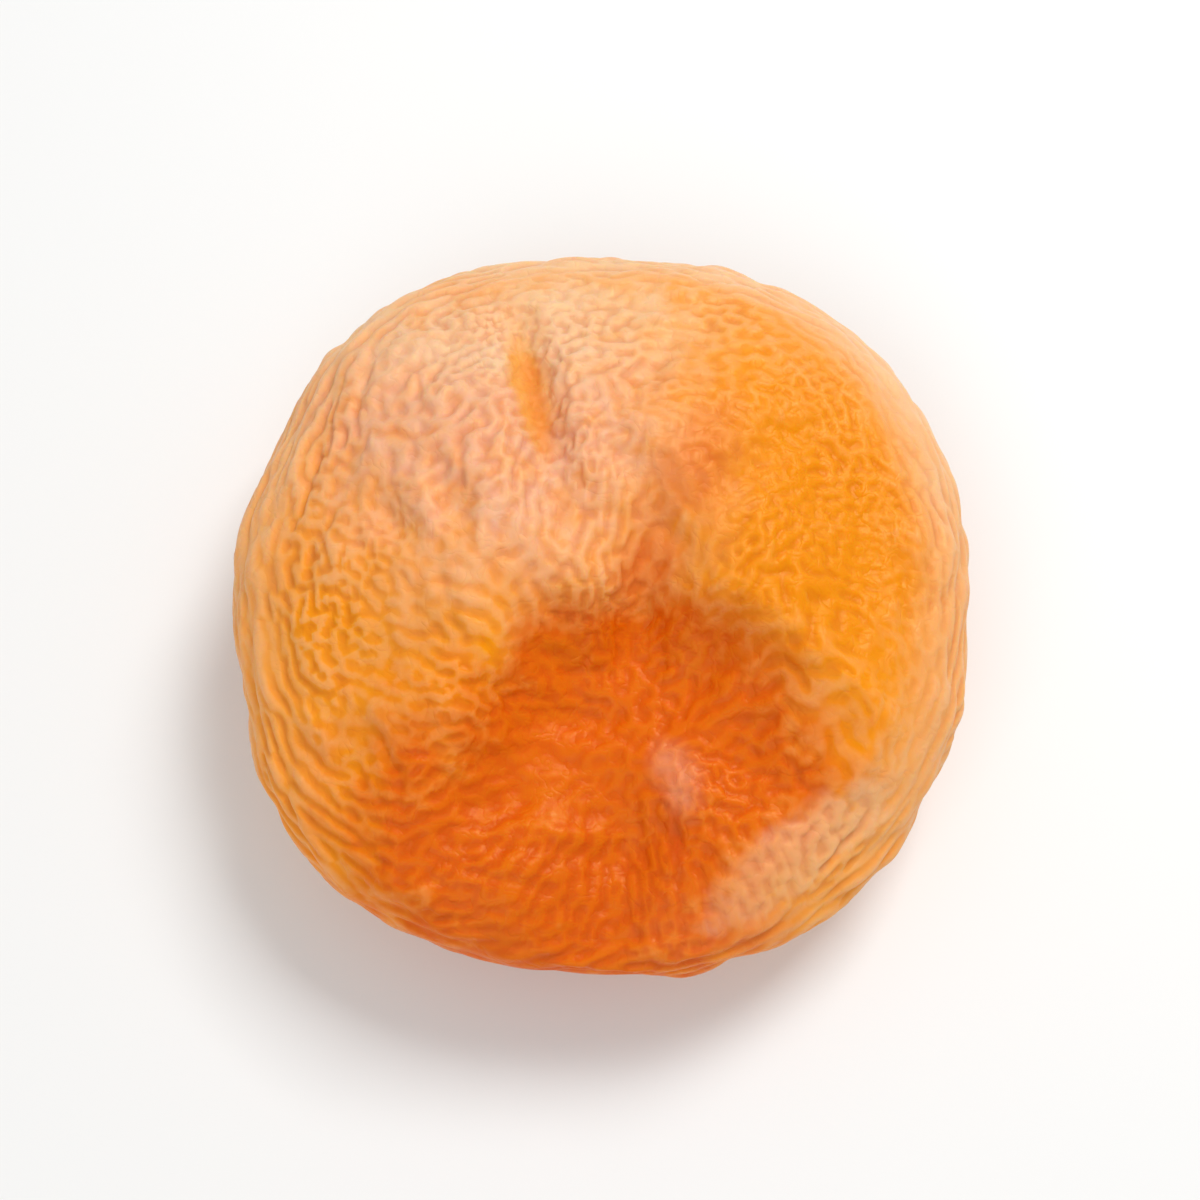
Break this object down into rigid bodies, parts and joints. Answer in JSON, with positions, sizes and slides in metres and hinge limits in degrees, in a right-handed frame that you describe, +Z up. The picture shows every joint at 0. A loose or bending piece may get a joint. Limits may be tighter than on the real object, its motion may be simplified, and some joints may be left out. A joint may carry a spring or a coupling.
{
  "type": "dried apricot",
  "caption": "Whole dried apricot without its stone: a thick puckered disc with a rounded rim, a deep hollow, a closed stem slit and a small flat spot to lie on.",
  "frame": {"origin": "on the surface that the fruit rests on, under the middle of its outline", "axes": "+Z up through the face with the hollow, +Y towards the stem end, +X to the right seen from above"},
  "size_m": [0.0412, 0.0414, 0.0166],
  "materials": {
    "fruit_flesh": "soft, slightly translucent orange fruit flesh with a finely crinkled satin skin, paler at the rim and deeper in the hollow"
  },
  "bodies": {
    "root": {"dried_apricot": "fruit_flesh"}
  },
  "joints": []
}
